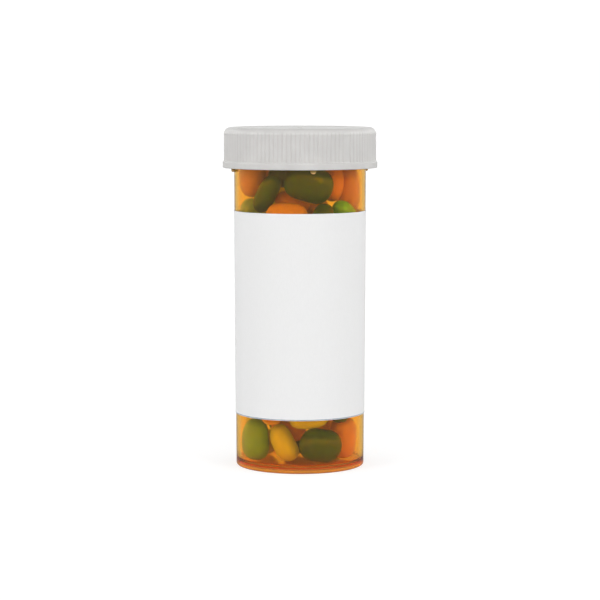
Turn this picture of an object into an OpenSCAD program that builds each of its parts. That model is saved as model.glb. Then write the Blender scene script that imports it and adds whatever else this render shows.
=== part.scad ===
// Amber prescription vial with a push-down-and-turn closure, a wrapped paper
// label and a fill of loose jelly beans.
// The vial stands on z = 0 with its axis on Z, and its front faces -Y.
// Angles called phi are measured from the front towards +X.

/* [Vial] */
// Outer diameter at the foot
base_d = 47.9; // [47:0.1:50]
// Outer diameter at the neck
neck_d = 49.1; // [48.5:0.1:50]
// Height of the rim above the foot
rim_z = 120.7; // [120.3:0.1:122]
// Wall thickness
wall = 1.3; // [0.9:0.1:1.6]
// Height of the inside floor
floor_z = 2.0; // [1.6:0.1:3]
// Depth of the recess under the floor
foot_recess = 0.7; // [0.3:0.1:0.9]
// Radius of the heel, where the wall turns into the foot
heel_r = 0.9; // [0.4:0.1:1.2]

/* [Neck lugs] */
// Angle of the first lug's stop from the front
lug_phi = 11; // [0:1:40]
// Angular length of a lug, from its stop to its open end
lug_len = 27; // [22:1:30]
// How far a lug stands out from the neck
lug_out = 1.65; // [1.2:0.05:1.8]
// Width of a stop
stop_w = 2.3; // [1.6:0.1:3]
// Height of a stop's lower end
stop_z = 110.2; // [109:0.1:111]

/* [Closure] */
// Diameter over the ribs
cap_d = 56.7; // [56.4:0.1:60]
// Diameter of the plain band
band_d = 57.6; // [56.5:0.1:61]
// Height of the closure's lower edge
cap_z = 111.75; // [111.2:0.05:112]
// Height of the band
band_h = 2.45; // [1.5:0.05:3]
// Height of the closure's top
cap_top_z = 126.7; // [126:0.1:128]
// Number of ribs
rib_count = 108; // [60:4:120]
// Depth of the grooves between the ribs
rib_depth = 0.4; // [0.2:0.05:0.6]
// Radius of the closure's top corner
cap_corner = 2.5; // [1:0.1:3]
// How far the closure turns between the gaps and the notches
lock_turn = 35; // [34:1:36]

/* [Seal and spring] */
// Thickness of the foam seal on the rim
wad_t = 1.2; // [0.8:0.1:1.4]
// Diameter of the foam seal and of the spring disc
disc_d = 52; // [51.5:0.1:52.6]

/* [Label] */
// Height of the label's lower edge
label_z = 19.8; // [15:0.1:30]
// Height of the label
label_h = 76; // [50:1:80]
// Angle that the label wraps round the vial
label_wrap = 290; // [200:5:330]
// Thickness of the label
label_t = 0.12; // [0.08:0.01:0.2]

/* [Beans] */
// Radius of an ordinary bean
bean_r = 4.9; // [4.7:0.1:5]
// Half of the straight part of an ordinary bean
bean_half = 2.9; // [2.4:0.1:3.1]
// Number of beans poured in between the placed ones
pour_count = 90; // [0:1:90]
// Level that no poured bean's top passes
fill_z = 113; // [60:1:113]
// Seed of the pour and of the mix of colours
pour_seed = 7; // [1:1:99]

/* [Hidden] */
$fn = 96;

base_r = base_d / 2;
neck_r = neck_d / 2;
draft_z = 108;                       // the wall is straight above this height
lug_top = 117.6;                     // upper face of the neck lugs
lug_under = 114.4;                   // lower face of the neck lugs
notch_roof = 115.45;                 // roof of the notch that holds a closure lug
lug_r = neck_r + lug_out;
stop_half = asin(stop_w / 2 / neck_r);
cap_in = neck_r + 2.2;               // bore of the closure's skirt
ceiling_z = cap_top_z - 1.5;
cap_lug_w = 14;                      // angular width of a closure lug
cap_lug_z = 112.3;
cap_lug_h = 1.7;
cap_lug_r = neck_r + 0.4;            // inner face of a closure lug
lock_phi = lug_phi + stop_half + 0.9 + cap_lug_w / 2;
open_phi = lock_phi + lock_turn;     // where the closure's lugs stand in the gaps
bead_z = 119.0;                      // bead that keeps the discs in the closure
wad_z = rim_z;
disc_z = wad_z + wad_t;
clear = 0.1;                         // half of the least gap between two beans
drops = 110;                         // ways in which each bean is dropped
settles = 75;                        // shifts by which each bean settles

function outer_r(z) = base_r + (neck_r - base_r) * min(max(z, 0), draft_z) / draft_z;
function inner_r(z) = outer_r(z) - wall;

// Points on an arc round [x, z]
function arc(x, z, r, from, to, n = 8) = [for (i = [0:n]) let (a = from + (to - from) * i / n) [x + r * cos(a), z + r * sin(a)]];

// A ring sector: radii r1 to r2, heights z1 to z2, phi from a1 to a2
module sector(r1, r2, z1, z2, a1, a2)
    rotate([0, 0, a1 - 90]) rotate_extrude(angle = a2 - a1)
        translate([r1, z1]) square([r2 - r1, z2 - z1]);

// ---------------------------------------------------------------- vial

// Half section of the tube: foot ring and recess, heel, wall, rim, then the
// inside with a round corner where the wall meets the floor
module vial_profile() {
    corner = 1.6;
    polygon(concat(
        [[0, foot_recess], [base_r - 4.2, foot_recess], [base_r - 3.2, 0]],
        arc(base_r - heel_r, heel_r, heel_r, -90, 0, 6),
        [[neck_r, draft_z], [neck_r, rim_z - 0.4]],
        [[neck_r - 0.4, rim_z], [neck_r - wall + 0.3, rim_z], [neck_r - wall, rim_z - 0.3]],
        [[inner_r(draft_z), draft_z]],
        arc(inner_r(floor_z + corner) - corner, floor_z + corner, corner, 0, -90, 6),
        [[0, floor_z]]));
}

module neck_lug(phi) {
    // ledge, open underneath where a lug of the closure rises into its notch
    difference() {
        sector(neck_r - 0.5, lug_r, lug_under, lug_top, phi, phi + lug_len);
        sector(neck_r - 1, lug_r + 1, lug_under - 1, notch_roof, phi + stop_half + 0.3, phi + stop_half + cap_lug_w + 2.9);
    }
    // stop, with a round lower end
    rotate([0, 0, phi]) translate([0, -neck_r, 0]) {
        translate([-stop_w / 2, -1.3, stop_z + stop_w / 2])
            cube([stop_w, 1.8, lug_top - 0.4 - stop_z - stop_w / 2]);
        translate([0, 0.5, stop_z + stop_w / 2]) rotate([90, 0, 0])
            cylinder(h = 1.8, d = stop_w);
    }
}

module vial() color([0.86, 0.52, 0.16, 0.55]) {
    rotate_extrude() vial_profile();
    for (k = [0:3]) neck_lug(lug_phi + 90 * k);
}

// ---------------------------------------------------------------- label

module label() color([0.94, 0.94, 0.94]) {
    gap = 0.05;
    top = min(label_z + label_h, 108);
    rotate([0, 0, 90 + (360 - label_wrap) / 2]) rotate_extrude(angle = label_wrap)
        polygon([[outer_r(label_z) + gap, label_z], [outer_r(label_z) + gap + label_t, label_z],
                 [outer_r(top) + gap + label_t, top], [outer_r(top) + gap, top]]);
}

// ---------------------------------------------------------------- closure

// Cross-section of the ribbed skirt, one tooth for each rib
function rib_points() = [for (i = [0:rib_count - 1]) let (p = 360 / rib_count, a = i * p)
    each [for (q = [[-0.46, 0], [-0.24, 1], [0.24, 1], [0.46, 0]])
        let (r = cap_d / 2 - rib_depth * 1.2 + q[1] * rib_depth * 1.2, t = a + q[0] * p)
        [r * cos(t), r * sin(t)]]];

module cap_shell() color([0.86, 0.85, 0.83]) {
    top_r = cap_d / 2 + 0.05;
    core_r = cap_d / 2 - rib_depth;
    shoulder = cap_top_z - cap_corner;
    union() {
        // skirt, shoulder and roof in one half section, with the bead that
        // keeps the seal and the spring disc in the closure
        rotate_extrude() polygon(concat(
            [[cap_in, cap_z], [band_d / 2 - 0.3, cap_z], [band_d / 2, cap_z + 0.3],
             [band_d / 2, cap_z + band_h - 0.35], [band_d / 2 - 0.35, cap_z + band_h], [core_r, cap_z + band_h],
             [core_r, shoulder - 0.4]],
            arc(top_r - cap_corner, shoulder, cap_corner, 0, 90, 8),
            [[0, cap_top_z], [0, ceiling_z], [cap_in, ceiling_z],
             [cap_in, bead_z + 0.9], [disc_d / 2 - 0.5, bead_z + 0.5], [disc_d / 2 - 0.5, bead_z],
             [cap_in, bead_z - 0.6]]));
        // ribs
        translate([0, 0, cap_z + band_h - 0.6]) linear_extrude(height = shoulder - 0.15 - (cap_z + band_h - 0.6))
            difference() { polygon(rib_points()); circle(r = core_r - 0.6); }
        // lugs that turn in under the vial's lugs
        for (k = [0:3])
            sector(cap_lug_r, cap_in + 0.4, cap_lug_z, cap_lug_z + cap_lug_h,
                   open_phi + 90 * k - cap_lug_w / 2, open_phi + 90 * k + cap_lug_w / 2);
    }
}

module spring_disc() color([0.93, 0.92, 0.9]) {
    plate = 0.8;
    h = ceiling_z - disc_z;
    rotate_extrude() union() {
        translate([0, disc_z]) square([disc_d / 2, plate]);
        // conical skirt that gives as the closure is pressed
        polygon([[14, disc_z + plate - 0.1], [15.2, disc_z + plate - 0.1],
                 [19.2, disc_z + h], [18, disc_z + h]]);
    }
}

module seal_wad() color([0.95, 0.95, 0.93])
    translate([0, 0, wad_z]) cylinder(h = wad_t, d = disc_d);

// ---------------------------------------------------------------- beans

// Every bean is [centre, unit axis, half length, radius, colour].
// Colours: 0 orange, 1 light olive green, 2 dark green, 3 yellow.

// A bean that lies against the wall at angle phi and height z. Its slope is
// measured from the level, and inset is how far it stands back from the wall.
function wall_bean(phi, z, slope, inset, h, r, c) =
    let (rho = sqrt(pow(inner_r(z) - r - clear, 2) - pow(h * cos(slope), 2)) - inset)
    [[rho * sin(phi), -rho * cos(phi), z],
     [cos(slope) * cos(phi), cos(slope) * sin(phi), sin(slope)], h, r, c];

// A bean at a point, turned to a heading and tipped up by a pitch
function free_bean(x, y, z, heading, pitch, h, r, c) =
    [[x, y, z], [cos(pitch) * cos(heading), cos(pitch) * sin(heading), sin(pitch)], h, r, c];

// Placed beans: the ones at the foot of the vial
function foot_beans() = [
    wall_bean(-68, 10.3, 92, 0, 3, 5.1, 1),
    wall_bean(-29, 9.6, -60, 6, 3, 4.5, 3),
    wall_bean(28, 9.2, -12, 0.4, 2.1, 6.2, 2),
    wall_bean(80, 10.6, 88, 1.2, 3.2, 5.1, 0),
    wall_bean(-35, 24.6, 88, 0, 2.9, 4.9, 0),
    wall_bean(10.5, 20.8, 6, 0, 2.8, 4.9, 3),
    wall_bean(57, 24.4, 72, 0, 2.9, 4.6, 2)
];

// Placed beans: the ones that show below the closure
function top_beans() = [
    wall_bean(-73, 108.2, 76, 0, 2.6, 5, 0),
    free_bean(-11.95, -13.05, 102.6, -51.4, 51, 4.2, 4.2, 2),
    wall_bean(-88, 95.3, 10, 0, 2.7, 4.9, 1),
    wall_bean(-15, 94.7, -4, 0, 2.9, 4.9, 0),
    wall_bean(10.5, 106.4, -20, 0, 3, 6, 2),
    wall_bean(24.5, 92.3, 74, 0, 2.8, 4.4, 2),
    wall_bean(64, 93.4, -50, 0, 2.9, 4.8, 1),
    wall_bean(95, 103.6, 91, 0, 4.4, 4.9, 0),
    free_bean(11.9, -5.9, 106.4, 0, 88, 2.7, 4.5, 0),
    free_bean(-5, -4.6, 108.8, 8, 0, 2.3, 4.6, 2),
    free_bean(-2.8, -7, 99, 15, -8, 2.4, 4.4, 0),
    free_bean(-9.6, 5.6, 108.6, 40, 20, 2.5, 4.7, 0),
    free_bean(7.2, 5.4, 108.2, 70, 25, 2.4, 4.6, 0)
];

// Space in front of the placed beans that stays empty
function kept_clear() = [[-7, -17, 102, 4], [-16, -11, 97, 3], [16, -12, 101, 3]];

// Three balls that stand for a bean in the pour, as [x, y, z, radius]
function balls(b) = [for (s = [-1, 0, 1]) let (p = b[0] + s * b[2] * b[1]) [p[0], p[1], p[2], b[3] + clear]];
function all_balls(bs) = [for (b = bs) each balls(b)];

// How high a bean's centre comes to rest when it is dropped at x, y with the
// axis a: on the floor or on the beans already there
function rest_height(x, y, a, h, r, pile) =
    let (rr = r + clear)
    max(floor_z + r + 0.05 + h * abs(a[2]),
        max([for (s = [-1, 0, 1]) let (px = x + s * h * a[0], py = y + s * h * a[1], dz = s * h * a[2])
            max([for (q = pile) let (dx = px - q[0], dy = py - q[1], m = rr + q[3], g = m * m - dx * dx - dy * dy)
                g > 0 ? q[2] + sqrt(g) - dz : 0])]));

// Whether a bean's ends stay inside the wall
function inside(x, y, a, h, r) =
    let (lim = inner_r(0) - r - clear, ex = h * abs(a[0]), ey = h * abs(a[1]))
    max(norm([x + h * a[0], y + h * a[1]]), norm([x - h * a[0], y - h * a[1]])) <= lim;

// Whether a bean is clear of the placed beans at the top and under the fill line
function free_of(b, fixed) =
    b[0][2] + b[2] * abs(b[1][2]) + b[3] <= fill_z &&
    len([for (p = balls(b), q = fixed)
        if (norm([p[0] - q[0], p[1] - q[1], p[2] - q[2]]) < p[3] + q[3]) 1]) == 0;

function axis_of(heading, pitch) = [cos(pitch) * cos(heading), cos(pitch) * sin(heading), sin(pitch)];

// A try is [rest height, x, y, heading, pitch], or undef where it doesn't fit
function drop(x, y, hd, pt, h, r, pile, fixed) =
    let (a = axis_of(hd, pt))
    !inside(x, y, a, h, r) ? undef :
    let (z = rest_height(x, y, a, h, r, pile))
    free_of([[x, y, z], a, h, r], fixed) ? [z, x, y, hd, pt] : undef;

function lowest(ts) =
    let (ok = [for (t = ts) if (!is_undef(t)) t])
    len(ok) == 0 ? undef :
    let (m = min([for (t = ok) t[0]])) [for (t = ok) if (t[0] == m) t][0];

// Settles a try by small shifts and turns that bring it lower
function settle(t, n, step, u, h, r, pile, fixed) =
    n == 0 || is_undef(t) ? t :
    let (c = drop(t[1] + step * (u[4 * n] - 0.5), t[2] + step * (u[4 * n + 1] - 0.5),
                  t[3] + 12 * step * (u[4 * n + 2] - 0.5), t[4] + 10 * step * (u[4 * n + 3] - 0.5), h, r, pile, fixed))
    settle(is_undef(c) || c[0] >= t[0] ? t : c, n - 1, max(step * 0.93, 0.3), u, h, r, pile, fixed);

// Pours the beans one at a time: each is dropped in many ways, and stays where
// it comes to rest lowest
function pour(i, beans, pile, fixed) =
    i >= pour_count ? beans :
    let (u = rands(0, 1, 4 * (drops + settles + 1) + 4, pour_seed * 1000 + i),
         o = 4 * (drops + settles + 1),
         h = bean_half - 0.3 + 0.5 * u[o], r = bean_r - 0.15 + 0.25 * u[o + 1], c = u[o + 2],
         level = max([for (q = pile) q[2]]),
         near = [for (q = pile) if (q[2] > level - 36) q],
         lim = inner_r(0) - r - clear,
         t = lowest([for (k = [0:drops - 1]) let (j = 4 * (settles + 1 + k), rho = lim * sqrt(u[j]), th = 360 * u[j + 1])
             drop(rho * cos(th), rho * sin(th), 360 * u[j + 2], 120 * (u[j + 3] - 0.5), h, r, near, fixed)]),
         s = settle(t, settles, 6, u, h, r, near, fixed))
    is_undef(s) ? pour(i + 1, beans, pile, fixed) :
    let (b = [[s[1], s[2], s[0]], axis_of(s[3], s[4]), h, r, c < 0.3 ? 0 : c < 0.56 ? 1 : c < 0.8 ? 2 : 3])
    pour(i + 1, concat(beans, [b]), concat(pile, balls(b)), fixed);

function all_beans() =
    let (foot = foot_beans(), top = top_beans())
    concat(foot, top, pour(0, [], all_balls(foot), concat(all_balls(top), kept_clear())));

// One bean: round ends and a straight middle, turned from one outline
module bean(b) {
    a = b[1];
    translate(b[0]) rotate([0, acos(a[2]), atan2(a[1], a[0])]) rotate_extrude() intersection() {
        union() {
            translate([0, b[2]]) circle(b[3]);
            translate([0, -b[2]]) circle(b[3]);
            translate([0, -b[2]]) square([b[3], 2 * b[2]]);
        }
        translate([0, -20]) square([20, 40]);
    }
}

module beans_of(c) { for (b = all_beans()) if (b[4] == c) bean(b); }

module beans_orange() color([0.87, 0.42, 0.1]) beans_of(0);
module beans_green() color([0.52, 0.56, 0.16]) beans_of(1);
module beans_dark_green() color([0.25, 0.3, 0.1]) beans_of(2);
module beans_yellow() color([0.86, 0.66, 0.14]) beans_of(3);

vial();
label();
cap_shell();
spring_disc();
seal_wad();
beans_orange();
beans_green();
beans_dark_green();
beans_yellow();
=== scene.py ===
import math

import bmesh
import bpy
import numpy as np
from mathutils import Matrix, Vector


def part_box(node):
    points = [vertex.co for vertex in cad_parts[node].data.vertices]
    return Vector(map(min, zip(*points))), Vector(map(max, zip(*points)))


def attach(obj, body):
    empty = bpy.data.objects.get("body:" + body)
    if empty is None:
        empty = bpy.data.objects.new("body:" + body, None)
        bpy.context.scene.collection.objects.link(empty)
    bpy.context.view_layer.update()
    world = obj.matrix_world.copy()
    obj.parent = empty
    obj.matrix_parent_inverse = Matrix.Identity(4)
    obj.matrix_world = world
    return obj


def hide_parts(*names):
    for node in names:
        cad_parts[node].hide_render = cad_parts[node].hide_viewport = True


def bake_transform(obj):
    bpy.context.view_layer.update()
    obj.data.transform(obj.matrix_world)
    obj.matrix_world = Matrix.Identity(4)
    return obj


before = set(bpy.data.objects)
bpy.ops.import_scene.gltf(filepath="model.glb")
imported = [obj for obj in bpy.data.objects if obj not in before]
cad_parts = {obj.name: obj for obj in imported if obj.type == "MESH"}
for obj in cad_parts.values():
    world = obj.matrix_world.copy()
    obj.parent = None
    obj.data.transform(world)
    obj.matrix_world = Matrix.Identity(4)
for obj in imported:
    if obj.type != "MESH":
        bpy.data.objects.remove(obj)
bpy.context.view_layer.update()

MM = 0.001

# ------------------------------------------------------------------ sizes, in millimetres
# They repeat the CAD's values, and the heights are read from its boxes below.
BASE_R, NECK_R, DRAFT_Z = 23.95, 24.55, 108.0
WALL, FLOOR_Z, RECESS, HEEL = 1.3, 2.0, 0.7, 0.9
vial_lo, vial_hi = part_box("vial")
cap_lo, cap_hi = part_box("cap_shell")
label_lo, label_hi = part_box("label")
wad_lo, wad_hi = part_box("seal_wad")
disc_lo, disc_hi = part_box("spring_disc")
RIM_Z = vial_hi.z / MM
CAP_Z, CAP_TOP = cap_lo.z / MM, cap_hi.z / MM
LABEL_Z0, LABEL_Z1 = label_lo.z / MM, label_hi.z / MM
WAD_Z0, WAD_Z1 = wad_lo.z / MM, wad_hi.z / MM
DISC_Z0, DISC_Z1 = disc_lo.z / MM, disc_hi.z / MM
LUG_PHI, LUG_LEN, LUG_R = 11.0, 27.0, 26.2
LUG_UNDER, NOTCH_ROOF, LUG_TOP = 114.4, 115.45, 117.6
STOP_W, STOP_Z, STOP_R = 2.3, 110.2, 25.85
STOP_HALF = math.degrees(math.asin(STOP_W / 2 / NECK_R))
RIB_R, BAND_R, SHOULDER_R, CORNER = 28.35, 28.8, 28.4, 2.5
BAND_TOP, BORE_R, CEILING = CAP_Z + 2.45, 26.75, CAP_TOP - 1.5
OPEN_PHI = LUG_PHI + STOP_HALF + 0.9 + 7 + 35


def outer_r(z):
    return BASE_R + (NECK_R - BASE_R) * min(max(z, 0), DRAFT_Z) / DRAFT_Z


def inner_r(z):
    return outer_r(z) - WALL


def arc(cx, cz, r, a0, a1, n):
    return [
        (cx + r * math.cos(math.radians(a0 + (a1 - a0) * i / n)), cz + r * math.sin(math.radians(a0 + (a1 - a0) * i / n)))
        for i in range(n + 1)
    ]


def line(p, q, n):
    """Points from p to q, with both ends, in n steps."""
    return [(p[0] + (q[0] - p[0]) * i / n, p[1] + (q[1] - p[1]) * i / n) for i in range(n + 1)]


def chain(*runs):
    """Runs of points as one line, with no point twice."""
    out = []
    for run in runs:
        for p in run:
            if not out or math.hypot(p[0] - out[-1][0], p[1] - out[-1][1]) > 1e-6:
                out.append(p)
    return out


# ------------------------------------------------------------------ mesh making
def finish_mesh(name, co, faces, sharp=35, attributes=None):
    """An object from points in millimetres, with its faces turned outwards and its sharp edges marked."""
    me = bpy.data.meshes.new(name)
    me.from_pydata([tuple(c * MM for c in p) for p in co], [], faces)
    for key, values in (attributes or {}).items():
        me.attributes.new(key, "FLOAT", "POINT").data.foreach_set("value", np.asarray(values, np.float32))
    bm = bmesh.new()
    bm.from_mesh(me)
    bmesh.ops.recalc_face_normals(bm, faces=bm.faces)
    bm.to_mesh(me)
    bm.free()
    me.polygons.foreach_set("use_smooth", [True] * len(me.polygons))
    me.set_sharp_from_angle(angle=math.radians(sharp))
    me.validate()
    ob = bpy.data.objects.new(name, me)
    bpy.context.scene.collection.objects.link(ob)
    return ob


def ring_faces(a, na, b, nb):
    """Faces between a ring that starts at vertex a with na points and one at b with nb: equal, half or double, or a pole."""
    if nb == 1:
        return [(a + i, a + (i + 1) % na, b) for i in range(na)]
    if na == 1:
        return [(a, b + (i + 1) % nb, b + i) for i in range(nb)]
    if na == nb:
        return [(a + i, a + (i + 1) % na, b + (i + 1) % nb, b + i) for i in range(na)]
    if na == 2 * nb:
        out = []
        for i in range(nb):
            p, q, r = a + 2 * i, a + 2 * i + 1, a + (2 * i + 2) % na
            s, t = b + i, b + (i + 1) % nb
            out += [(p, q, s), (q, t, s), (q, r, t)]
        return out
    return [tuple(reversed(f)) for f in ring_faces(b, nb, a, na)]


def lathe(name, rows, angles, closed=False, shape=None, sharp=35, attribute=None):
    """A turned mesh. rows are (radius, height, divisor): the divisor, 1, 2, 4 or 8, thins the columns out near the axis.
    shape(radius, height, angles) gives the radii round one row where it isn't round."""
    co, faces, starts, values = [], [], [], []
    full = len(angles)
    for r, z, div in rows:
        if r < 1e-9:
            starts.append((len(co), 1))
            co.append((0.0, 0.0, z))
            values.append(0.0)
            continue
        th = angles[::div]
        rr = np.full(len(th), r) if shape is None else shape(r, z, th)
        mask = np.zeros(len(th)) if attribute is None else attribute(r, z, th)
        starts.append((len(co), len(th)))
        co += [(a * math.sin(t), -a * math.cos(t), z) for a, t in zip(rr, th)]
        values += list(mask)
    pairs = list(zip(starts, starts[1:])) + ([(starts[-1], starts[0])] if closed else [])
    for (a, na), (b, nb) in pairs:
        faces += ring_faces(a, na, b, nb)
    return finish_mesh(name, co, faces, sharp, None if attribute is None else {"groove": values})


def even(n):
    return np.arange(n) * 2 * math.pi / n


def sector(rs, phi0, phi1, steps, end_round=0.0):
    """A piece of a ring with the closed section rs, a list of (radius, height), from phi0 to phi1. Its outer edge
    is rounded at both ends."""
    r_max, r_min = max(p[0] for p in rs), min(p[0] for p in rs)
    span = math.radians(phi1 - phi0)
    e = end_round / r_max / span if end_round else 0
    ts = sorted(set([0.0, 1.0] + [e * k for k in (0.15, 0.4, 0.7, 1.0)] + [1 - e * k for k in (0.15, 0.4, 0.7, 1.0)])) if e else [0.0, 1.0]
    ts = sorted(set(round(t, 7) for t in ts + [k / steps for k in range(1, steps) if not e or e * 1.2 < k / steps < 1 - e * 1.2]))
    co, n = [], len(rs)
    for t in ts:
        d = min(t, 1 - t) / e if e else 1
        cut = end_round * (1 - math.sqrt(max(0.0, 1 - (1 - d) ** 2))) if d < 1 else 0
        a = math.radians(phi0) + span * t
        for r, z in rs:
            rr = r - cut * (r - r_min) / (r_max - r_min)
            co.append((rr * math.sin(a), -rr * math.cos(a), z))
    faces = [tuple(range(n)), tuple(reversed(range(len(co) - n, len(co))))]
    for k in range(len(ts) - 1):
        for i in range(n):
            faces.append((k * n + i, k * n + (i + 1) % n, (k + 1) * n + (i + 1) % n, (k + 1) * n + i))
    return co, faces


def several(name, parts):
    """One object from several closed meshes that don't touch each other."""
    co, faces = [], []
    for c, f in parts:
        faces += [tuple(i + len(co) for i in face) for face in f]
        co += c
    return finish_mesh(name, co, faces)


def unite(ob, other):
    """Adds other to ob, as one closed skin, and drops other."""
    m = ob.modifiers.new("unite", "BOOLEAN")
    m.operation, m.solver, m.object = "UNION", "EXACT", other
    dg = bpy.context.evaluated_depsgraph_get()
    made = bpy.data.meshes.new_from_object(ob.evaluated_get(dg))
    ob.modifiers.clear()
    old = ob.data
    ob.data = made
    bpy.data.meshes.remove(old)
    mesh = other.data
    bpy.data.objects.remove(other)
    bpy.data.meshes.remove(mesh)
    ob.data.polygons.foreach_set("use_smooth", [True] * len(ob.data.polygons))
    ob.data.set_sharp_from_angle(angle=math.radians(35))
    return ob


def tidy(ob):
    """Welds points closer than a micrometre and drops what has no area."""
    bm = bmesh.new()
    bm.from_mesh(ob.data)
    bmesh.ops.remove_doubles(bm, verts=bm.verts, dist=1e-6)
    bmesh.ops.dissolve_degenerate(bm, edges=bm.edges, dist=1e-7)
    bm.to_mesh(ob.data)
    bm.free()
    ob.data.set_sharp_from_angle(angle=math.radians(35))
    return ob


# ------------------------------------------------------------------ node helpers
class Nodes:
    """A material's node tree, with short calls for what the materials here use."""

    def __init__(self, name):
        self.mat = bpy.data.materials.new(name)
        self.mat.use_nodes = True
        self.nt = self.mat.node_tree
        self.nt.nodes.clear()
        self.out = self.nt.nodes.new("ShaderNodeOutputMaterial")
        self.bsdf = self.nt.nodes.new("ShaderNodeBsdfPrincipled")
        self.nt.links.new(self.bsdf.outputs[0], self.out.inputs["Surface"])
        self.coord = self.nt.nodes.new("ShaderNodeTexCoord")

    def set(self, **values):
        for key, v in values.items():
            self.bsdf.inputs[key.replace("_", " ")].default_value = v

    def link(self, a, b):
        self.nt.links.new(a, b)

    def stretch(self, x, y, z):
        m = self.nt.nodes.new("ShaderNodeMapping")
        m.inputs["Scale"].default_value = (x, y, z)
        self.link(self.coord.outputs["Object"], m.inputs["Vector"])
        return m.outputs[0]

    def noise(self, scale, detail=3, rough=0.5, vector=None):
        n = self.nt.nodes.new("ShaderNodeTexNoise")
        n.inputs["Scale"].default_value = scale
        n.inputs["Detail"].default_value = detail
        n.inputs["Roughness"].default_value = rough
        self.link(vector or self.coord.outputs["Object"], n.inputs["Vector"])
        return n.outputs["Fac"]

    def spread(self, value, lo, hi, to_lo=0.0, to_hi=1.0, smooth=False):
        m = self.nt.nodes.new("ShaderNodeMapRange")
        if smooth:
            m.interpolation_type = "SMOOTHSTEP"
        m.inputs["From Min"].default_value, m.inputs["From Max"].default_value = lo, hi
        m.inputs["To Min"].default_value, m.inputs["To Max"].default_value = to_lo, to_hi
        self.link(value, m.inputs["Value"])
        return m.outputs[0]

    def height(self):
        """The height above the resting face, in metres."""
        n = self.nt.nodes.new("ShaderNodeSeparateXYZ")
        self.link(self.coord.outputs["Object"], n.inputs[0])
        return n.outputs["Z"]

    def radius(self):
        """The distance from the vial's axis, in metres."""
        n = self.nt.nodes.new("ShaderNodeVectorMath")
        n.operation = "MULTIPLY"
        self.link(self.coord.outputs["Object"], n.inputs[0])
        n.inputs[1].default_value = (1, 1, 0)
        m = self.nt.nodes.new("ShaderNodeVectorMath")
        m.operation = "LENGTH"
        self.link(n.outputs["Vector"], m.inputs[0])
        return m.outputs["Value"]

    def math(self, kind, a, b):
        m = self.nt.nodes.new("ShaderNodeMath")
        m.operation = kind
        for i, v in enumerate((a, b)):
            if isinstance(v, (int, float)):
                m.inputs[i].default_value = v
            else:
                self.link(v, m.inputs[i])
        return m.outputs[0]

    def attribute(self, name):
        a = self.nt.nodes.new("ShaderNodeAttribute")
        a.attribute_name = name
        return a.outputs["Fac"]

    def mix(self, fac, a, b):
        m = self.nt.nodes.new("ShaderNodeMix")
        m.data_type = "RGBA"
        for i, v in ((6, a), (7, b)):
            if isinstance(v, tuple):
                m.inputs[i].default_value = (*v, 1)
            else:
                self.link(v, m.inputs[i])
        self.link(fac, m.inputs[0])
        return m.outputs[2]

    def bump(self, height, strength, distance, after=None):
        b = self.nt.nodes.new("ShaderNodeBump")
        b.inputs["Strength"].default_value = strength
        b.inputs["Distance"].default_value = distance
        self.link(height, b.inputs["Height"])
        if after is not None:
            self.link(after, b.inputs["Normal"])
        return b.outputs[0]


def wear(ob, mat):
    ob.data.materials.clear()
    ob.data.materials.append(mat)


# ------------------------------------------------------------------ materials
def amber_material():
    n = Nodes("amber_plastic")
    n.set(Base_Color=(0.99, 0.665, 0.12, 1), Roughness=0.12, IOR=1.49, Transmission_Weight=1.0)
    # faint haze and flow marks: the moulded wall isn't polished everywhere alike
    flow = n.noise(1.0, 3, 0.55, n.stretch(420, 420, 60))
    rough = n.spread(flow, 0.35, 0.7, 0.055, 0.095)
    # the thick foot is hazier than the wall
    rough = n.math("ADD", rough, n.spread(n.height(), 0.0012, 0.0050, 0.05, 0.0))
    n.link(rough, n.bsdf.inputs["Roughness"])
    base = n.mix(n.spread(n.height(), 0.0026, 0.0046, 1.0, 0.0), (0.99, 0.665, 0.12), (0.97, 0.42, 0.06))
    # painted highlight: the stops of the neck get a lighter, less clear colour where they would catch the light, most
    # of all at their lower edge
    stop = n.math("MULTIPLY", n.spread(n.radius(), 0.0248, 0.0251), n.spread(n.height(), 0.1116, 0.1122, 1.0, 0.0))
    edge = n.spread(n.height(), 0.1106, 0.1110, 0.92, 0.40)
    stop = n.math("MULTIPLY", stop, edge)
    n.link(n.mix(stop, base, (0.98, 0.60, 0.24)), n.bsdf.inputs["Base Color"])
    clear = n.spread(n.height(), 0.0010, 0.0024, 0.58, 1.0)
    # the painted highlight on the stops also makes them less clear
    n.link(n.math("SUBTRACT", clear, stop), n.bsdf.inputs["Transmission Weight"])
    waves = n.bump(n.noise(1.0, 2, 0.5, n.stretch(170, 170, 40)), 0.25, 0.00012)
    n.link(waves, n.bsdf.inputs["Normal"])
    v = n.nt.nodes.new("ShaderNodeVolumeAbsorption")
    v.inputs["Color"].default_value = (0.992, 0.85, 0.25, 1)
    v.inputs["Density"].default_value = 400
    n.link(v.outputs[0], n.out.inputs["Volume"])
    return n.mat


def cap_material():
    n = Nodes("white_moulded_plastic")
    n.set(Roughness=0.42, IOR=1.49, Subsurface_Weight=0.12, Subsurface_Radius=(1.0, 0.95, 0.9), Subsurface_Scale=0.0012)
    cloud = n.spread(n.noise(140, 3, 0.55), 0.35, 0.65)
    base = n.mix(cloud, (0.525, 0.518, 0.505), (0.49, 0.483, 0.472))
    # painted shade: the grooves are darkened and tinted a little pink by their depth
    groove = n.math("MULTIPLY", n.attribute("groove"), 0.26)
    base = n.mix(groove, base, (0.43, 0.37, 0.37))
    speck = n.spread(n.noise(2600, 2, 0.5), 0.70, 0.78, 0, 0.35)
    base = n.mix(speck, base, (0.43, 0.42, 0.395))
    n.link(base, n.bsdf.inputs["Base Color"])
    n.link(n.spread(n.noise(700, 3, 0.6), 0.3, 0.7, 0.37, 0.48), n.bsdf.inputs["Roughness"])
    grain = n.bump(n.noise(3200, 3, 0.6), 0.18, 0.00003)
    n.link(n.bump(n.noise(90, 2, 0.5), 0.12, 0.00025, grain), n.bsdf.inputs["Normal"])
    return n.mat


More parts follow.
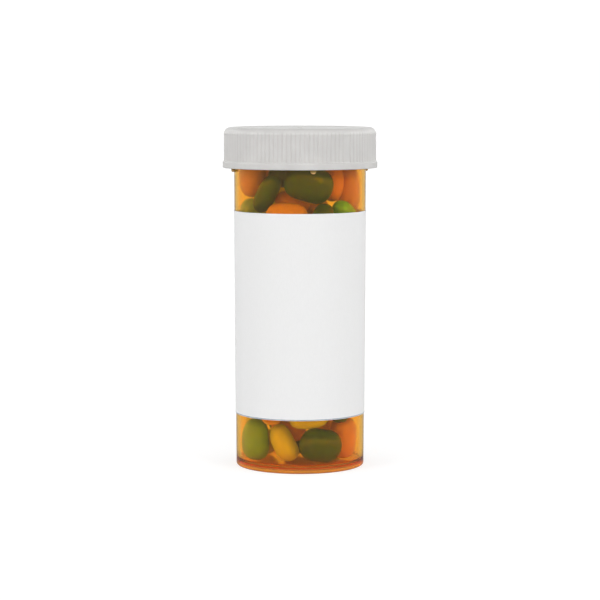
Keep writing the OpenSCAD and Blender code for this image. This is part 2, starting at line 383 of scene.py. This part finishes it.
def paper_material():
    n = Nodes("label_paper")
    n.set(Roughness=0.62, IOR=1.45, Sheen_Weight=0.05, Sheen_Roughness=0.5)
    fibre = n.noise(1.0, 5, 0.7, n.stretch(2600, 2600, 700))
    cloud = n.noise(260, 3, 0.6)
    base = n.mix(n.spread(fibre, 0.3, 0.7), (0.70, 0.70, 0.70), (0.675, 0.676, 0.678))
    base = n.mix(n.spread(cloud, 0.4, 0.75, 0, 0.35), base, (0.685, 0.682, 0.676))
    # painted shadow: a thin dark blue-grey line just inside the lower and side cut edges, patchy in strength
    edge_shadow_fac = n.math("MULTIPLY", n.spread(n.attribute("edge"), 0.08, 0.13), n.spread(n.attribute("edge"), 0.48, 0.42))
    edge_shadow_strength = n.spread(n.noise(1.0, 2, 0.5, n.stretch(900, 900, 900)), 0.25, 0.6, 0.65, 0.95)
    base = n.mix(n.math("MULTIPLY", edge_shadow_fac, edge_shadow_strength), base, (0.20, 0.25, 0.31))
    n.link(base, n.bsdf.inputs["Base Color"])
    n.link(n.spread(fibre, 0.3, 0.7, 0.56, 0.70), n.bsdf.inputs["Roughness"])
    n.link(n.bump(fibre, 0.25, 0.00002), n.bsdf.inputs["Normal"])
    return n.mat


def candy_material(name, light, dark, deep):
    n = Nodes(name)
    n.set(Roughness=0.48, IOR=1.45, Coat_Weight=0.50, Coat_Roughness=0.14, Subsurface_Weight=0.18,
          Subsurface_Radius=(1.0, 0.8, 0.4), Subsurface_Scale=0.0010)
    base = n.mix(n.attribute("tint"), dark, light)
    mottle = n.spread(n.noise(330, 4, 0.6), 0.42, 0.72, 0, 0.4)
    base = n.mix(mottle, base, deep)
    # painted shade: each bean's hollow is darkened towards the deep colour
    base = n.mix(n.math("MULTIPLY", n.attribute("dent"), 0.35), base, deep)
    n.link(base, n.bsdf.inputs["Base Color"])
    n.link(n.spread(n.noise(500, 3, 0.6), 0.3, 0.7, 0.42, 0.56), n.bsdf.inputs["Roughness"])
    skin = n.bump(n.noise(1100, 3, 0.55), 0.20, 0.00006)
    n.link(n.bump(n.noise(260, 2, 0.5), 0.22, 0.00022, skin), n.bsdf.inputs["Normal"])
    return n.mat


def foam_material():
    n = Nodes("seal_foam")
    n.set(Roughness=0.75, IOR=1.4, Sheen_Weight=0.1, Sheen_Roughness=0.6, Subsurface_Weight=0.1, Subsurface_Scale=0.001)
    cell = n.nt.nodes.new("ShaderNodeTexVoronoi")
    cell.inputs["Scale"].default_value = 2600
    n.link(n.coord.outputs["Object"], cell.inputs["Vector"])
    base = n.mix(n.spread(cell.outputs["Distance"], 0.0, 0.7), (0.80, 0.79, 0.76), (0.88, 0.87, 0.85))
    base = n.mix(n.spread(n.noise(120, 3, 0.5), 0.4, 0.7, 0, 0.4), base, (0.82, 0.81, 0.77))
    n.link(base, n.bsdf.inputs["Base Color"])
    n.link(n.spread(n.noise(900, 2, 0.5), 0.3, 0.7, 0.68, 0.85), n.bsdf.inputs["Roughness"])
    n.link(n.bump(cell.outputs["Distance"], 0.45, 0.00006), n.bsdf.inputs["Normal"])
    return n.mat


def disc_material():
    n = Nodes("spring_plastic")
    n.set(Roughness=0.38, IOR=1.5, Subsurface_Weight=0.15, Subsurface_Radius=(1, 0.95, 0.85), Subsurface_Scale=0.0015)
    base = n.mix(n.spread(n.noise(160, 3, 0.5), 0.35, 0.65), (0.80, 0.79, 0.75), (0.74, 0.73, 0.69))
    n.link(base, n.bsdf.inputs["Base Color"])
    n.link(n.spread(n.noise(800, 3, 0.6), 0.3, 0.7, 0.32, 0.45), n.bsdf.inputs["Roughness"])
    n.link(n.bump(n.noise(2600, 3, 0.6), 0.15, 0.00003), n.bsdf.inputs["Normal"])
    return n.mat


# ------------------------------------------------------------------ vial
def make_vial():
    t = BASE_R - HEEL
    corner = 1.6
    ci = inner_r(FLOOR_Z + corner) - corner
    under = chain(
        [(0, RECESS - 0.22), (0.55, RECESS - 0.22)], arc(0.55, RECESS - 0.10, 0.12, -90, 0, 3), [(0.70, RECESS - 0.02)],
        arc(0.86, RECESS - 0.02, 0.0, 0, 0, 1),
        line((1.3, RECESS), (BASE_R - 4.45, RECESS), 4),
        arc(BASE_R - 4.45, RECESS - 0.25, 0.25, 90, 35, 4),
        arc(BASE_R - 2.95, 0.25, 0.25, 215, 270, 4),
        line((BASE_R - 2.9, 0), (t, 0), 3),
    )
    heel = arc(t, HEEL, HEEL, -90, 0, 10)
    wall = chain(line((outer_r(HEEL), HEEL), (NECK_R, DRAFT_Z), 40), line((NECK_R, DRAFT_Z), (NECK_R, RIM_Z - 0.4), 6))
    rim = chain(arc(NECK_R - 0.4, RIM_Z - 0.4, 0.4, 0, 90, 6), arc(NECK_R - WALL + 0.3, RIM_Z - 0.3, 0.3, 90, 180, 5))
    bore = chain(line((NECK_R - WALL, RIM_Z - 0.3), (inner_r(DRAFT_Z), DRAFT_Z), 5), line((inner_r(DRAFT_Z), DRAFT_Z), (inner_r(FLOOR_Z + corner), FLOOR_Z + corner), 36))
    inside = chain(arc(ci, FLOOR_Z + corner, corner, 0, -90, 10), line((ci, FLOOR_Z), (ci * 0.2, FLOOR_Z), 4), [(0, FLOOR_Z)])
    pts = chain(under, heel, wall, rim, bore, inside)
    pts = [(0.0, z) if r < 1e-6 else (r, z) for r, z in pts]
    rows = [(r, z, 1 if r > 14 else 2 if r > 7 else 4 if r > 3 else 8) for r, z in pts]
    ob = lathe("vial_amber", rows, even(384))
    e = 0.3
    ledge = chain([(NECK_R - 0.5, NOTCH_ROOF)], line((NECK_R - 0.49, NOTCH_ROOF), (LUG_R - e, NOTCH_ROOF), 2),
                  arc(LUG_R - e, NOTCH_ROOF + e, e, -90, 0, 4), arc(LUG_R - e, LUG_TOP - e, e, 0, 90, 4), [(NECK_R - 0.5, LUG_TOP)])
    tooth = chain([(NECK_R - 0.6, LUG_UNDER)], arc(LUG_R - e, LUG_UNDER + e, e, -90, 0, 4), [(LUG_R - 0.02, NOTCH_ROOF + 0.6), (NECK_R - 0.6, NOTCH_ROOF + 0.6)])
    ledges, teeth, stops = [], [], []
    for k in range(4):
        phi = LUG_PHI + 90 * k
        ledges.append(sector(ledge, phi, phi + LUG_LEN, 18, 0.35))
        teeth.append(sector(tooth, phi + STOP_HALF + 16.9, phi + LUG_LEN - 0.02, 6, 0.3))
        stops.append(stop(phi))
    for name, parts in (("teeth", teeth), ("ledges", ledges), ("stops", stops)):
        unite(ob, several(name, parts))
    return tidy(ob)


def stop(phi):
    """A lug's stop: an upright bar on the neck, with a round lower end and a softened face."""
    w, e, top = STOP_W / 2, 0.35, LUG_TOP - 0.4
    layers = [(NECK_R - 0.45, 0.0), (STOP_R - e, 0.0)] + [(STOP_R - e + e * math.sin(math.radians(a)), e * (1 - math.cos(math.radians(a)))) for a in (22.5, 45, 67.5, 90)]
    a = math.radians(phi)
    co, n = [], 0
    for r, inset in layers:
        ww = w - inset
        outline = [(ww * math.cos(math.radians(d)), STOP_Z + w + ww * math.sin(math.radians(d))) for d in range(180, 361, 12)]
        outline += [(ww, STOP_Z + w + (top - inset - STOP_Z - w) * k / 4) for k in range(1, 5)]
        outline += [(-ww, STOP_Z + w + (top - inset - STOP_Z - w) * k / 4) for k in range(4, 0, -1)]
        n = len(outline)
        for x, z in outline:
            co.append((x * math.cos(a) + r * math.sin(a), x * math.sin(a) - r * math.cos(a), z))
    faces = [tuple(range(n)), tuple(reversed(range(len(co) - n, len(co))))]
    for k in range(len(layers) - 1):
        for i in range(n):
            faces.append((k * n + i, k * n + (i + 1) % n, (k + 1) * n + (i + 1) % n, (k + 1) * n + i))
    return co, faces


# ------------------------------------------------------------------ closure
RIBS, GROOVE = 108, 0.14
OFFSETS = (0.0, 0.05, 0.10, 0.15, 0.21, 0.35, 0.5, 0.65, 0.79, 0.85, 0.90, 0.95)


def rib_angles():
    p = 2 * math.pi / RIBS
    return np.array([(k + f) * p for k in range(RIBS) for f in OFFSETS])


def groove_at(z, th):
    """How deep the groove is there, from 0 to 1: narrow and round, running out in the shoulder. One is left out at
    the mould's parting line."""
    p = 2 * math.pi / RIBS
    x = (th / p + 0.5) % 1 - 0.5
    g = np.where(np.abs(x) < 0.21, np.cos(np.clip(x / 0.21, -1, 1) * math.pi / 2) ** 1.2, 0.0)
    k = np.round(th / p).astype(int) % RIBS
    g = np.where(k == 11, 0.0, g)
    up = np.clip((126.2 - z) / 1.8, 0, 1)
    low = np.clip((z - BAND_TOP) / 0.25, 0, 1)
    return g * (up * up * (3 - 2 * up)) * low


def make_cap():
    top = CAP_TOP
    panel = 23.3
    outside = chain(
        [(0, top - 0.06), (0.9, top - 0.06)], arc(0.9, top - 0.14, 0.08, 90, 0, 2), [(1.02, top - 0.19)],
        line((1.3, top - 0.20), (panel - 0.3, top - 0.20), 8),
        arc(panel - 0.3, top + 0.05, 0.25, -90, -30, 4),
        arc(panel + 0.25, top - 0.2, 0.2, 160, 90, 4),
        line((panel + 0.3, top), (SHOULDER_R - CORNER, top), 4),
        arc(SHOULDER_R - CORNER, top - CORNER, CORNER, 90, 3, 16),
        line((RIB_R, top - CORNER - 0.1), (RIB_R, BAND_TOP + 0.3), 26),
        line((RIB_R, BAND_TOP + 0.3), (RIB_R, BAND_TOP + 0.02), 3),
        arc(BAND_R - 0.32, BAND_TOP - 0.34, 0.32, 88, 0, 5),
        line((BAND_R, BAND_TOP - 0.4), (BAND_R, CAP_Z + 0.3), 5),
        arc(BAND_R - 0.28, CAP_Z + 0.28, 0.28, 0, -90, 5),
        line((BAND_R - 0.3, CAP_Z), (BORE_R + 0.35, CAP_Z), 3),
        arc(BORE_R + 0.3, CAP_Z + 0.3, 0.3, 270, 180, 4),
        line((BORE_R, CAP_Z + 0.3), (BORE_R, 118.3), 12),
        arc(25.9, 119.0, 0.4, 240, 120, 6) and [(BORE_R, 118.4), (26.1, 118.75), (25.68, 118.98), (25.52, 119.15), (25.5, 119.25), (25.52, 119.35), (25.68, 119.52), (26.1, 119.68), (BORE_R, 119.9)],
        line((BORE_R, 119.95), (BORE_R, CEILING - 0.4), 5),
        arc(BORE_R - 0.4, CEILING - 0.4, 0.4, 0, 90, 4),
        line((BORE_R - 0.4, CEILING), (0.9, CEILING), 8),
        [(0, CEILING)],
    )
    pts = [(0.0, z) if r < 1e-6 else (r, z) for r, z in outside]
    rows = [(r, z, 1 if r > 22.2 else 2 if r > 15 else 4 if r > 7 else 8 if False else 4) for r, z in pts]
    outer_limit = BAND_TOP + 0.01

    def shape(r, z, th):
        if r > 27.5 and outer_limit < z < top - 0.4:
            return r - GROOVE * groove_at(z, th)
        return np.full(len(th), r)

    def mask(r, z, th):
        if r > 27.5 and outer_limit < z < top - 0.4:
            return groove_at(z, th)
        return np.zeros(len(th))

    ob = lathe("closure_cap", rows, rib_angles(), shape=shape, attribute=mask, sharp=50)
    e = 0.3
    section = chain([(BORE_R + 0.4, 112.3), (24.95 + e, 112.3)], arc(24.95 + e, 112.3 + e, e, 270, 180, 4),
                    arc(24.95 + e, 114.0 - e, e, 180, 90, 4), [(BORE_R + 0.4, 114.0)])
    lugs = []
    for k in range(4):
        lugs.append(cap_lug(section, OPEN_PHI + 90 * k - 7, OPEN_PHI + 90 * k + 7))
    unite(ob, several("lugs", lugs))
    return tidy(ob)


def cap_lug(section, phi0, phi1):
    """A lug inside the closure's skirt. Its ends are rounded in plan."""
    ro = max(p[0] for p in section)
    span = math.radians(phi1 - phi0)
    steps = 12
    er = 0.5 / ro / span
    ts = sorted(set([0.0, er * 0.12, er * 0.35, er * 0.65, er] + [k / steps for k in range(1, steps)] + [1 - er, 1 - er * 0.65, 1 - er * 0.35, 1 - er * 0.12, 1.0]))
    co, n = [], len(section)
    for t in ts:
        d = min(t, 1 - t) / er
        cut = 0.5 * (1 - math.sqrt(max(0.0, 1 - (1 - d) ** 2))) if d < 1 else 0
        a = math.radians(phi0) + span * t
        for r, z in section:
            rr = r + cut * (ro - r) / (ro - 24.95)
            co.append((rr * math.sin(a), -rr * math.cos(a), z))
    faces = [tuple(range(n)), tuple(reversed(range(len(co) - n, len(co))))]
    for k in range(len(ts) - 1):
        for i in range(n):
            faces.append((k * n + i, k * n + (i + 1) % n, (k + 1) * n + (i + 1) % n, (k + 1) * n + i))
    return co, faces


# ------------------------------------------------------------------ seal and spring
def make_wad():
    e, r = 0.25, 26.0
    pts = chain(
        [(0, WAD_Z0)], line((1.0, WAD_Z0), (22.9, WAD_Z0), 8),
        [(23.1, WAD_Z0 + 0.02), (23.3, WAD_Z0 + 0.06), (23.5, WAD_Z0 + 0.07), (24.2, WAD_Z0 + 0.07), (24.45, WAD_Z0 + 0.06), (24.65, WAD_Z0 + 0.02), (24.85, WAD_Z0)],
        arc(r - e, WAD_Z0 + e, e, -90, 0, 5), arc(r - e, WAD_Z1 - e, e, 0, 90, 5),
        line((r - e - 0.1, WAD_Z1), (1.0, WAD_Z1), 8), [(0, WAD_Z1)],
    )
    rows = [(r_, z, 1 if r_ > 12 else 2 if r_ > 5 else 4) for r_, z in pts]
    return lathe("seal_foam_disc", rows, even(256), sharp=60)


def make_disc():
    z0, z1, top = DISC_Z0, DISC_Z0 + 0.8, DISC_Z1
    e, r = 0.2, 26.0
    s = 4.0 / (top - z1)
    pts = chain(
        [(0, z0)], line((1.0, z0), (r - e, z0), 10), arc(r - e, z0 + e, e, -90, 0, 4), arc(r - e, z1 - e, e, 0, 90, 4),
        line((r - e - 0.1, z1), (15.75, z1), 6), [(15.5, z1 + 0.04), (15.35, z1 + 0.15)],
        line((15.2 + 0.25 * s, z1 + 0.25), (19.2 - 0.10 * s, top - 0.12), 8),
        [(19.13, top - 0.04), (18.98, top), (18.25, top), (18.08, top - 0.04)],
        line((18.0 - 0.12 * s, top - 0.12), (14.0 + 0.2 * s, z1 + 0.2), 8),
        [(14.12, z1 + 0.10), (13.95, z1 + 0.03), (13.7, z1)],
        line((13.4, z1), (1.0, z1), 5), [(0, z1)],
    )
    rows = [(r_, z, 1 if r_ > 12 else 2 if r_ > 5 else 4) for r_, z in pts]
    return lathe("closure_spring_disc", rows, even(256), sharp=60)


# ------------------------------------------------------------------ label
def make_label():
    """A paper label wrapped round the vial, from phi -145 to 145, with round corners and edges that stand off a little."""
    gap, thick, corner = 0.05, 0.12, 1.5
    z0, z1 = LABEL_Z0, LABEL_Z1
    half = math.radians(145)
    cols, h = 290, z1 - z0
    zs = [corner * (1 - math.cos(math.radians(a))) for a in (0, 8, 16, 25, 35, 46, 58, 70, 80, 90)]
    zs = [z0 + v for v in zs] + [z0 + corner + (h - 2 * corner) * k / 56 for k in range(1, 56)] + [z1 - v for v in reversed(zs)]
    rng = np.random.default_rng(11)
    waves = [(rng.integers(2, 9), rng.uniform(30, 160), rng.uniform(0, 6.28), rng.uniform(0.003, 0.008)) for _ in range(10)]
    co, edge = [], []
    for side in (0, 1):
        for z in zs:
            d = min(z - z0, z1 - z)
            r0 = outer_r(z) + gap
            short = corner - math.sqrt(max(0.0, corner**2 - (corner - d) ** 2)) if d < corner else 0.0
            reach = half - short / r0
            for j in range(cols + 1):
                # denser columns at the two upright edges
                u = j / cols * 2 - 1
                u = math.copysign(abs(u) ** 0.97, u)
                a = reach * u
                ex = (reach - abs(a)) * r0
                near = min(ex, d)
                w = sum(am * math.sin(f * a + z * 6.28 / wl + ph) for f, wl, ph, am in waves)
                lift = 0.10 * math.exp(-ex / 1.3) * (0.6 + 0.4 * math.sin(z * 0.21 + (1.3 if a > 0 else 0))) + 0.02 * math.exp(-d / 0.9)
                r = r0 + max(0.0, w + 0.012) + lift + thick * side
                # the cut edge is softened
                if side == 0 and near < 1e-6:
                    r += 0.02
                if side == 1 and near < 1e-6:
                    r -= 0.02
                co.append((r * math.sin(a), -r * math.cos(a), z))
                edge.append(min(ex, z - z0))
    n, rows = cols + 1, len(zs)
    base = n * rows
    faces = []
    for i in range(rows - 1):
        for j in range(cols):
            a, b, c, d = i * n + j, i * n + j + 1, (i + 1) * n + j + 1, (i + 1) * n + j
            faces.append((a, d, c, b))
            faces.append((base + a, base + b, base + c, base + d))
    rimline = [j for j in range(n)] + [i * n + cols for i in range(1, rows)] + [(rows - 1) * n + j for j in range(cols - 1, -1, -1)] + [i * n for i in range(rows - 2, 0, -1)]
    for a, b in zip(rimline, rimline[1:] + rimline[:1]):
        faces.append((a, b, base + b, base + a))
    return finish_mesh("paper_label", co, faces, sharp=50, attributes={"edge": edge})


# ------------------------------------------------------------------ beans
def islands(node):
    """Each bean of a CAD node as an array of its points, in millimetres."""
    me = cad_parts[node].data
    co = np.zeros(len(me.vertices) * 3)
    me.vertices.foreach_get("co", co)
    co = co.reshape(-1, 3) / MM
    _, back = np.unique(np.round(co, 3), axis=0, return_inverse=True)
    back = back.ravel()
    ends = np.zeros(len(me.edges) * 2, int)
    me.edges.foreach_get("vertices", ends)
    ends = back[ends].reshape(-1, 2)
    root = list(range(back.max() + 1))

    def find(i):
        while root[i] != i:
            root[i] = root[root[i]]
            i = root[i]
        return i

    for a, b in ends:
        ra, rb = find(a), find(b)
        if ra != rb:
            root[max(ra, rb)] = min(ra, rb)
    label = np.array([find(i) for i in back])
    return [np.unique(np.round(co[label == k], 3), axis=0) for k in np.unique(label)]


def capsule_of(p):
    """(centre, axis, half, radius) of a bean's envelope."""
    mid = p.mean(0)
    _, vec = np.linalg.eigh(np.cov((p - mid).T))
    axis = vec[:, -1]
    if axis[2] < 0:
        axis = -axis
    e1 = vec[:, 0]
    e2 = np.cross(axis, e1)
    c = mid.copy()
    for _ in range(3):
        q = p - c
        for e in (axis, e1, e2):
            s = q @ e
            c = c + e * (s.max() + s.min()) / 2
            q = p - c
    q = p - c
    radius = np.linalg.norm(q - np.outer(q @ axis, axis), axis=1).max()
    return c, axis, (q @ axis).max() - radius, radius


# How some of the beans near the front lie: (centre, hollow side, depth of the hollow, squareness, share of the
# group's lighter colour), and for a few: how much longer, deeper and wider than their round envelope they are.
LIE = [
    ((7.5, -14.0, 9.2), (0.3, 0.9, 0.3), 0.15, 5.0, 0.5, 0.95, 1.0, 1.09),
    ((-16.2, -6.6, 10.3), (0.9, -0.35, 0.0), 0.35, 2.5, 0.3),
    ((-5.8, -10.5, 9.6), (0.8, -0.3, 0.4), 0.5, 2.4, 0.25),
    ((16.1, -2.8, 10.6), (-0.9, -0.3, 0.0), 0.25, 2.7, 0.1),
    ((3.2, -17.3, 20.8), (0.0, 0.3, 1.0), 0.4, 2.8, 0.8),
    ((-10.2, -14.6, 24.6), (0.0, 1.0, 0.1), 0.5, 2.6, 1.0),
    ((15.1, -9.8, 24.4), (0.0, 0.9, 0.3), 0.5, 2.5, 0.5),
    ((-17.3, -5.3, 108.2), (0.6, 0.6, 0.2), 0.4, 2.4, 0.5),
    ((-11.95, -13.05, 102.6), (0.6, 0.5, 0.2), 0.3, 2.5, 0.8, 1.0, 0.92, 0.92),
    ((-18.0, -0.6, 95.3), (0.0, 0.3, -1.0), 0.4, 2.5, 0.0),
    ((-4.6, -17.3, 94.7), (0.1, 0.5, -1.0), 0.5, 2.8, 0.8),
    ((3.1, -16.5, 106.4), (-0.3, 0.3, -0.9), 0.3, 3.0, 0.6, 1.02, 1.18, 1.0),
    ((7.7, -16.9, 92.3), (0.3, 0.9, 0.1), 0.3, 2.5, 0.5),
    ((16.3, -8.0, 93.4), (-0.4, 0.8, -0.5), 0.4, 2.3, 1.0),
    ((18.2, 1.6, 103.6), (0.2, 0.9, 0.1), 0.5, 2.5, 0.15),
    ((11.7, -5.9, 106.4), (0.2, 0.9, 0.1), 0.4, 2.4, 0.0),
    ((-5.0, -4.6, 108.8), (0.0, 0.9, 0.1), 0.4, 2.4, 0.2),
    ((-2.8, -7.0, 99.0), (0.0, 0.9, 0.1), 0.4, 2.4, 0.0),
]


def bean_skin(centre, axis, half, radius, rng):
    """A jelly bean in its envelope: a round-ended body, a little flattened, with one hollow side."""
    nu, nv = 34, 40
    d = rng.normal(size=3)
    dent, p = rng.uniform(0.55, 1.05), rng.uniform(2.25, 2.7)
    shade = rng.uniform(0, 1)
    longer, deeper, wider = 1.0, 1.0, 1.0
    for c, way, amount, power, share, *more in LIE:
        if np.linalg.norm(np.array(c) - centre) < 1.0:
            d, dent, p, shade = np.array(way, float), amount, power, share
            if more:
                longer, deeper, wider = more
    d = d - (d @ axis) * axis
    d = -d / np.linalg.norm(d)  # the rounded side
    e = np.cross(axis, d)
    a, r = half + radius - 0.06, radius - 0.08
    flat = rng.uniform(0.93, 0.985)
    phase = rng.uniform(0, 6.28, 6)
    lump = rng.uniform(0.05, 0.10)
    bend = 0.45 * dent
    lean = rng.uniform(-0.08, 0.08)
    co, hollow = [], []
    for i in range(nu + 1):
        t = math.pi * i / nu
        cx, sx = math.cos(t), max(math.sin(t), 0.0)
        x = a * math.copysign(abs(cx) ** (2 / p), cx)
        rho = r * sx ** (2 / p)
        ring = 1 if i in (0, nu) else nv
        for j in range(ring):
            th = 2 * math.pi * j / nv
            c, s = math.cos(th), math.sin(th)
            k = 1 + lump / r * (math.sin(2 * th + 2.2 * x / a + phase[0]) * 0.5 + math.sin(3 * th - 3.1 * x / a + phase[1]) * 0.3 + math.sin(th + 4.3 * x / a + phase[2]) * 0.4)
            k *= 1 + lean * x / a
            dd, ee = rho * c * k, rho * s * k * flat
            pit = dent * math.exp(-((x / (0.52 * a)) ** 2)) * max(0.0, -c) ** 1.6
            dd += pit - bend * ((x / a) ** 2 - 0.25) * 0.9
            q = centre + axis * x + d * dd + e * ee
            # inside the envelope
            m = max(-half, min(half, (q - centre) @ axis))
            core = centre + axis * m
            off = q - core
            length = np.linalg.norm(off)
            limit = radius - 0.02
            if length > limit - 0.25:
                # eases towards the limit instead of cutting at it
                over = length - (limit - 0.25)
                off = off / length * (limit - 0.25 + 0.25 * (1 - math.exp(-over / 0.25)))
                q = core + off
            q = q - centre
            q = centre + axis * (q @ axis) * longer + d * (q @ d) * deeper + e * (q @ e) * wider
            co.append(tuple(q))
            hollow.append(pit / dent if dent else 0.0)
    faces = []
    starts = [(0, 1)] + [(1 + nv * k, nv) for k in range(nu - 1)] + [(1 + nv * (nu - 1), 1)]
    for (p0, n0), (p1, n1) in zip(starts, starts[1:]):
        faces += ring_faces(p0, n0, p1, n1)
    return co, faces, hollow, shade


def make_beans(name, node, seed):
    rng = np.random.default_rng(seed)
    co, faces, tint, dent = [], [], [], []
    found = sorted((capsule_of(p) for p in islands(node)), key=lambda c: (round(float(c[0][2]), 2), round(float(c[0][0]), 2)))
    for centre, axis, half, radius in found:
        c, f, h, shade = bean_skin(centre, axis, half, radius, rng)
        faces += [tuple(i + len(co) for i in face) for face in f]
        co += c
        dent += h
        tint += [shade] * len(c)
    return finish_mesh(name, co, faces, sharp=180, attributes={"tint": tint, "dent": dent})


# ------------------------------------------------------------------ the object
amber, white, paper = amber_material(), cap_material(), paper_material()

vial = make_vial()
wear(vial, amber)
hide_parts("vial")
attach(vial, "vial_body")

cap = make_cap()
wear(cap, white)
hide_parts("cap_shell")
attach(cap, "cap")

label = make_label()
wear(label, paper)
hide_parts("label")
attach(label, "vial_body")

wad = make_wad()
wear(wad, foam_material())
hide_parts("seal_wad")
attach(wad, "seal")

disc = make_disc()
wear(disc, disc_material())
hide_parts("spring_disc")
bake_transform(disc)

CANDY = [
    ("jelly_beans_orange", "beans_orange", 3, (0.95, 0.60, 0.14), (0.94, 0.37, 0.07), (0.86, 0.34, 0.06)),
    ("jelly_beans_green", "beans_green", 5, (0.18, 0.92, 0.24), (0.27, 0.62, 0.14), (0.14, 0.48, 0.11)),
    ("jelly_beans_dark_green", "beans_dark_green", 7, (0.026, 0.165, 0.05), (0.020, 0.125, 0.04), (0.016, 0.095, 0.03)),
    ("jelly_beans_yellow", "beans_yellow", 9, (0.84, 0.96, 0.16), (0.75, 0.88, 0.13), (0.70, 0.78, 0.09)),
]
for name, node, seed, light, dark, deep in CANDY:
    beans = make_beans(name, node, seed)
    wear(beans, candy_material(name.replace("jelly_beans", "candy"), light, dark, deep))
    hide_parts(node)
    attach(beans, "vial_body")

# ------------------------------------------------------------------ floor, light and camera
floor_me = bpy.data.meshes.new("floor")
floor_me.from_pydata([(-6, -6, 0), (6, -6, 0), (6, 6, 0), (-6, 6, 0)], [], [(0, 1, 2, 3)])
floor = bpy.data.objects.new("floor", floor_me)
bpy.context.scene.collection.objects.link(floor)
fm = Nodes("floor_white")
fm.set(Base_Color=(0.40, 0.40, 0.40, 1), Roughness=0.9, Emission_Color=(1, 1, 1, 1))
# the pale sheet is lit from within for the eye, and throws little of that light on the object
eye = fm.nt.nodes.new("ShaderNodeLightPath")
seen = fm.math("MAXIMUM", eye.outputs["Is Camera Ray"], fm.math("MULTIPLY", eye.outputs["Is Transmission Ray"], 0.85))
fm.link(fm.math("MULTIPLY", seen, 0.66), fm.bsdf.inputs["Emission Strength"])
fm.bsdf.inputs["Specular IOR Level"].default_value = 0.0
wear(floor, fm.mat)

world = bpy.data.worlds.new("studio")
bpy.context.scene.world = world
world.use_nodes = True
wn = world.node_tree
wn.nodes.clear()


def wnode(kind, **values):
    n = wn.nodes.new(kind)
    for k, v in values.items():
        setattr(n, k, v)
    return n


def wmath(kind, a, b):
    m = wnode("ShaderNodeMath", operation=kind)
    for i, v in enumerate((a, b)):
        if isinstance(v, (int, float)):
            m.inputs[i].default_value = v
        else:
            wn.links.new(v, m.inputs[i])
    return m.outputs[0]


def lobe(direction, power, strength):
    """A soft light in the studio's dome, round a direction."""
    d = wnode("ShaderNodeVectorMath", operation="DOT_PRODUCT")
    wn.links.new(w_co.outputs["Generated"], d.inputs[0])
    d.inputs[1].default_value = tuple(np.array(direction) / np.linalg.norm(direction))
    return wmath("MULTIPLY", wmath("POWER", wmath("MAXIMUM", d.outputs["Value"], 0.0), float(power)), float(strength))


def ramp(value, lo, hi, to_lo, to_hi):
    m = wnode("ShaderNodeMapRange", interpolation_type="SMOOTHSTEP")
    for key, v in (("From Min", lo), ("From Max", hi), ("To Min", to_lo), ("To Max", to_hi)):
        m.inputs[key].default_value = v
    wn.links.new(value, m.inputs["Value"])
    return m.outputs[0]


w_out, w_bg = wnode("ShaderNodeOutputWorld"), wnode("ShaderNodeBackground")
w_co, w_sep = wnode("ShaderNodeTexCoord"), wnode("ShaderNodeSeparateXYZ")
wn.links.new(w_co.outputs["Generated"], w_sep.inputs[0])
# a dim room with a white sheet behind, and a bright ring of soft light above eye level
sheet = wmath("MULTIPLY", ramp(w_sep.outputs["Y"], 0.80, 0.97, 0.0, 0.68), ramp(w_sep.outputs["Z"], 0.06, 0.20, 1.0, 0.15))
total = wmath("ADD", sheet, 0.34)
ring = wmath("MULTIPLY", ramp(w_sep.outputs["Z"], 0.0, 0.12, 0.0, 1.0), ramp(w_sep.outputs["Z"], 0.40, 0.64, 1.0, 0.0))
ring = wmath("MULTIPLY", ring, ramp(w_sep.outputs["Y"], 0.55, 0.95, 2.3, 0.75))
total = wmath("ADD", total, ring)
for direction, power, strength in (((-0.70, -0.60, 0.38), 420, 36.0), ((0.62, -0.68, 0.38), 420, 40.0)):
    total = wmath("ADD", total, lobe(direction, power, strength))
# seen directly, the studio is white all round
w_eye = wnode("ShaderNodeLightPath")
total = wmath("MAXIMUM", total, w_eye.outputs["Is Camera Ray"])
wn.links.new(total, w_bg.inputs["Strength"])
w_bg.inputs["Color"].default_value = (1, 1, 1, 1)
wn.links.new(w_bg.outputs[0], w_out.inputs[0])

cam_data = bpy.data.cameras.new("camera")
cam_data.lens, cam_data.sensor_width = 135, 36
cam_data.clip_start, cam_data.clip_end = 0.01, 50
cam = bpy.data.objects.new("camera", cam_data)
bpy.context.scene.collection.objects.link(cam)
from mathutils import Vector
cam.location = (0, -0.840, 0.146)
cam.rotation_mode = "QUATERNION"
cam.rotation_quaternion = (Vector((0, 0, 0.062)) - cam.location).to_track_quat("-Z", "Y")
bpy.context.scene.camera = cam
bpy.context.scene.view_settings.view_transform = "Standard"
bpy.context.scene.view_settings.look = "None"
